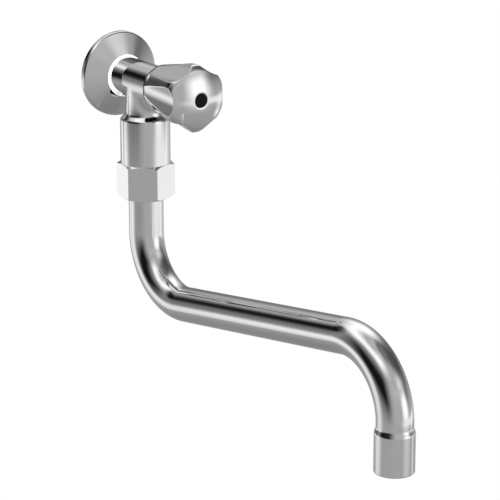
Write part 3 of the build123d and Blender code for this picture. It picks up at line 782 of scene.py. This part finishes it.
def moulded(name, tint, roughness, grain, depth, shine=0.5):
    """Rubber, fibre or plastic with a slightly uneven colour and a fine grain; no depth leaves it smooth."""
    made, recipe = material(name)
    place = recipe.place()
    fine = recipe.noise(place, scale=grain, detail=4.0, roughness=0.6)
    broad = recipe.noise(place, scale=140.0)
    inputs = {
        "Base Color": recipe.blend(broad, colour(tint), colour(tint, share=0.8)),
        "Roughness": roughness + 0.15 * fine,
        "Specular IOR Level": shine,
    }
    if depth:
        inputs["Normal"] = recipe.bump(fine, distance=depth, strength=0.5)
    recipe.surface(recipe.node("ShaderNodeBsdfPrincipled", inputs=inputs))
    return made


class FAUCET_OT_chrome(bpy.types.Operator):
    """Plate the body, rosette, nut, handle and spout."""

    bl_idname = "faucet.chrome"
    bl_label = "Plate the outside"

    def execute(self, context):
        dress(chrome("plated_turned", context.scene.faucet_finish), *PLATED_NODES)
        return {"FINISHED"}


class FAUCET_OT_inner_pieces(bpy.types.Operator):
    """Finish the brass, steel, rubber, fibre and plastic pieces."""

    bl_idname = "faucet.inner_pieces"
    bl_label = "Finish the inner pieces"

    def execute(self, context):
        settings = context.scene.faucet_finish
        brass = turned_metal("machined_brass", settings.brass, roughness=0.22, pitch=0.0005)
        steel = turned_metal("bright_steel", settings.steel, roughness=0.25, pitch=0.0004)
        rubber = moulded("black_rubber", settings.rubber, roughness=0.50, grain=2600.0, depth=0.00004)
        fibre = moulded("red_fibre", settings.fibre, roughness=0.72, grain=1800.0, depth=0.00008)
        acetal = moulded("white_acetal", settings.acetal, roughness=0.38, grain=900.0, depth=0.00002)
        plug = moulded("black_plug", settings.plug, roughness=0.6, grain=1500.0, depth=0.00002, shine=0.06)
        dress(brass, *BRASS_NODES)
        dress(steel, *STEEL_NODES)
        dress(rubber, *RUBBER_NODES)
        dress(fibre, "bonnet_gasket")
        dress(acetal, *ACETAL_NODES)
        dress(plug, "index_plug")
        return {"FINISHED"}


# ---------------------------------------------------------------- studio
# The room that the plating mirrors. Each panel: azimuth and elevation of its middle, half width, half
# height, soft edge across, soft edge up and down, all in degrees, and its brightness. Azimuth 0 is
# straight out of the wall and 90 is to the right of somebody who faces the tap. A later panel covers
# an earlier one. These numbers come from a fit to the photograph's reflections, with some given one by one.
PANELS = {
    "high light band, all round but the front right": (-159, 56, 130, 11, 57, 28, 1.08),
    "high dark screen, right": (72, 46, 37, 27, 49, 10, 0.081),
    "black screen, left": (-95, 13, 41, 24, 46, 31, 0.007),
    "black strip, behind on the left": (-156, 15, 10, 26, 24, 10, 0.03),
    "dark strip over the left screen": (-95, 39, 25, 5, 24, 38, 0.158),
    "main soft box, front right": (32, 8, 18, 23, 25, 36, 1.08),
    "low light strip, right": (56, -15, 42, 3, 60, 6, 0.82),
    "low light, behind on the left": (-140, -15, 12, 7, 44, 19, 1.08),
    "high light, behind on the right": (135, 41, 22, 11, 27, 27, 1.08),
    "dark strip, behind on the right": (154, 5, 46, 11, 8, 21, 0.05),
    "dark screen overhead, right": (51, 71, 40, 13, 28, 19, 0.159),
    "dark screen, right": (81, 16, 36, 10, 22, 41, 0.04),
    "dark end of the black strip": (-164, 12, 10, 10, 10, 10, 0.06),
    "dark top of the black strip": (-151, 22, 9, 10, 12, 16, 0.006),
    "grey ceiling": (0, 91, 200, 7, 2, 9, 0.47),
    "low light for the nut's left flat": (-165, -15, 9, 5, 6, 6, 0.90),
    "shade under the black strip": (-153, -3, 7, 10, 6, 14, 0.17),
    "grey strip, front": (17, 22, 45, 5, 38, 19, 0.464),
    "faint glow, right": (132, 8, 4, 5, 62, 61, 0.773),
    "low light for the nut's right flat": (76, -16, 6, 5, 10, 8, 0.86),
    "low light, behind on the left, lower": (-150, -21, 10, 5, 16, 14, 0.7),
    "low light for the handle's right side": (80, -27, 8, 4, 10, 8, 0.86),
}
# The room between the panels, from the same fit: its brightness, and how much darker it is far down.
ROOM_LEVEL = 0.392
FLOOR_SIDE_DROP = 0.13
FAR_DOWN = -60.0  # elevation in degrees from which the whole drop counts; above level there is none
STUDIO_STRENGTH = 1.11  # the plating swallows a tenth of the light
LAMP_TARGET = (0, -0.14, -0.08)
# Each lamp, which lights what isn't plated: place, width and the setting that holds its power.
LAMPS = {
    "key_lamp": ((-1.1, -1.3, 1.7), 1.4, "key_power"),
    "fill_lamp": ((1.5, -0.9, 0.6), 1.2, "fill_power"),
    "low_lamp": ((-1.3, -1.4, -0.5), 1.0, "low_power"),
}


def studio_light(recipe):
    """The brightness of the studio in each direction: a grey room with soft panels and dark screens."""
    direction = recipe.node("ShaderNodeTexCoord", output="Generated")
    x, y, z = recipe.axes(direction)
    degree = 180 / math.pi
    azimuth = x.maths("ARCTAN2", x, y * -1.0) * degree
    elevation = z.maths("ARCSINE", z) * degree
    level = ROOM_LEVEL - FLOOR_SIDE_DROP * recipe.step(elevation, 0.0, FAR_DOWN)
    for middle, height, half_width, half_height, soft_width, soft_height, brightness in PANELS.values():
        turned_by = azimuth - middle
        across = abs(turned_by.maths("WRAP", turned_by, 180.0, -180.0))
        up = abs(elevation - height)
        mask = recipe.step(across, half_width + soft_width / 2, half_width - soft_width / 2) * recipe.step(
            up, half_height + soft_height / 2, half_height - soft_height / 2)
        level = level + (brightness - level) * mask
    return level


FLOOR_EDGE = 1.15  # the distance from the inlet, in floor radii, from which the floor looks as at its edge


def floor_material(settings):
    """Pale floor: white when seen straight, grey in the plating, and lit like any floor for the rest."""
    made, recipe = material("pale_floor")
    place = recipe.place()
    speckle = recipe.noise(place, scale=30.0)
    shade = colour(settings.floor_colour, share=0.97)
    tint = recipe.blend(speckle, colour(settings.floor_colour), shade)
    lit = recipe.node("ShaderNodeBsdfDiffuse", inputs={"Color": tint})
    white = recipe.node("ShaderNodeEmission", inputs={"Color": (1, 1, 1, 1), "Strength": 1.0})
    from_inlet = recipe.node("ShaderNodeVectorMath", {"operation": "LENGTH"}, {0: place}, output="Value")
    near, far = (colour([level] * 3) for level in settings.floor_in_chrome)
    outward = recipe.step(from_inlet, settings.floor_drop, FLOOR_EDGE * settings.floor_radius)
    shown = recipe.blend(outward, near, far)
    mirrored = recipe.node("ShaderNodeEmission", inputs={"Color": shown, "Strength": 1.0})
    seen, in_chrome = recipe.rays()
    plain = recipe.node("ShaderNodeMixShader", inputs={0: in_chrome, 1: lit, 2: mirrored})
    recipe.surface(recipe.node("ShaderNodeMixShader", inputs={0: seen, 1: plain, 2: white}))
    return made


def lamp(name, place, size, power):
    """A soft area lamp that the plating doesn't show."""
    data = bpy.data.lights.new(name, "AREA")
    data.size = size
    data.energy = power
    made = bpy.data.objects.new(name, data)
    bpy.context.scene.collection.objects.link(made)
    made.location = place
    made.rotation_euler = (Vector(LAMP_TARGET) - Vector(place)).to_track_quat("-Z", "Y").to_euler()
    made.visible_glossy = False
    return made


class FAUCET_OT_stage(bpy.types.Operator):
    """Lay the floor, light the studio and set up the camera."""

    bl_idname = "faucet.stage"
    bl_label = "Set the stage"

    def execute(self, context):
        scene = context.scene
        settings = scene.faucet_stage
        self.lay_floor(scene, settings)
        self.light(scene, settings)
        self.stand_camera(scene, settings)
        scene.view_settings.view_transform = "Standard"
        return {"FINISHED"}

    def lay_floor(self, scene, settings):
        """A round floor under the tap."""
        shape = bmesh.new()
        bmesh.ops.create_circle(shape, cap_ends=True, segments=96, radius=settings.floor_radius,
                                matrix=Matrix.Translation((0, 0, -settings.floor_drop)))
        mesh = bpy.data.meshes.new("floor")
        shape.to_mesh(mesh)
        shape.free()
        mesh.materials.append(floor_material(settings))
        floor = bpy.data.objects.new("floor", mesh)
        scene.collection.objects.link(floor)

    def light(self, scene, settings):
        """White behind the tap, the studio's panels in its plating, and the lamps."""
        world = bpy.data.worlds.new("studio")
        scene.world = world
        recipe = Recipe(world)
        level = studio_light(recipe)
        studio = recipe.node("ShaderNodeBackground", inputs={"Color": level, "Strength": STUDIO_STRENGTH})
        white = recipe.node("ShaderNodeBackground", inputs={"Color": (1, 1, 1, 1), "Strength": 1.0})
        mixed = recipe.node("ShaderNodeMixShader", inputs={0: recipe.rays()[0], 1: studio, 2: white})
        recipe.node("ShaderNodeOutputWorld", inputs={"Surface": mixed})
        for name, (place, size, power) in LAMPS.items():
            lamp(name, place, size, getattr(settings, power))

    def stand_camera(self, scene, settings):
        """The camera, where the photographer's stood."""
        data = bpy.data.cameras.new("camera")
        data.lens = settings.camera_lens
        data.sensor_width = 36.0
        data.clip_start = 0.05
        data.clip_end = 60.0
        camera = bpy.data.objects.new("camera", data)
        scene.collection.objects.link(camera)
        camera.location = settings.camera_place
        camera.rotation_euler = (math.pi / 2 - settings.camera_pitch, 0.0, settings.camera_yaw)
        scene.camera = camera


# ---------------------------------------------------------------- panel and registration
OPERATORS = (FAUCET_OT_chrome, FAUCET_OT_inner_pieces, FAUCET_OT_handle, FAUCET_OT_body, FAUCET_OT_rosette,
             FAUCET_OT_spout, FAUCET_OT_stage)


class FAUCET_PT_looks(bpy.types.Panel):
    """The faucet's settings and steps in the 3D view's sidebar."""

    bl_label = "Wall faucet"
    bl_idname = "FAUCET_PT_looks"
    bl_space_type = "VIEW_3D"
    bl_region_type = "UI"
    bl_category = "Wall faucet"

    def draw(self, context):
        for name, kind in GROUPS.items():
            box = self.layout.box()
            for setting in kind.__annotations__:
                box.prop(getattr(context.scene, name), setting)
        for operator in OPERATORS:
            self.layout.operator(operator.bl_idname)


GROUPS = {
    "faucet_finish": FaucetFinish,
    "faucet_handle": FaucetHandle,
    "faucet_body": FaucetBody,
    "faucet_rosette": FaucetRosette,
    "faucet_spout": FaucetSpout,
    "faucet_stage": FaucetStage,
}
CLASSES = (*GROUPS.values(), *OPERATORS, FAUCET_PT_looks)


def register():
    """Add the add-on's classes, and its settings to the scene."""
    for item in CLASSES:
        bpy.utils.register_class(item)
    for name, group in GROUPS.items():
        setattr(bpy.types.Scene, name, PointerProperty(type=group))


def unregister():
    """Take them away again."""
    for name in GROUPS:
        delattr(bpy.types.Scene, name)
    for item in reversed(CLASSES):
        bpy.utils.unregister_class(item)


def main():
    """Register, make and finish every piece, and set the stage."""
    register()
    bpy.ops.faucet.chrome()
    bpy.ops.faucet.inner_pieces()
    bpy.ops.faucet.handle()
    bpy.ops.faucet.body()
    bpy.ops.faucet.rosette()
    bpy.ops.faucet.spout()
    bpy.ops.faucet.stage()


if __name__ == "__main__":
    main()
